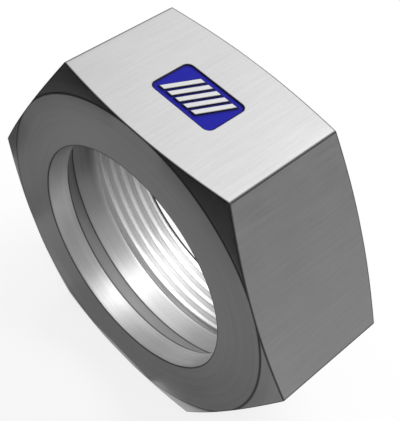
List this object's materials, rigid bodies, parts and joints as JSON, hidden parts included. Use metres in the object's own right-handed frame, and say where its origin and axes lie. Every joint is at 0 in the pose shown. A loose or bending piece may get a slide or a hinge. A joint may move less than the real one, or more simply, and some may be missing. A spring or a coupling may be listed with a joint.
{
  "type": "union nut",
  "caption": "Hexagon union nut for a compression tube fitting: a tube bore, a conical seat and an internal thread, with a sunk paint field on one flat.",
  "frame": {"origin": "centre of the tube-side end face, on the nut's axis", "axes": "+Y along the axis from the tube side to the thread side, +Z square to the flat that carries the sunk field, +X through a corner of the hexagon"},
  "size_m": [0.0692, 0.024, 0.06],
  "materials": {
    "plated_steel": "milled flats, turned faces and bores, neutral bright plating",
    "mark_paint": "blue gloss enamel in the sunk field"
  },
  "bodies": {
    "root": {"union_nut": "plated_steel"}
  },
  "joints": []
}
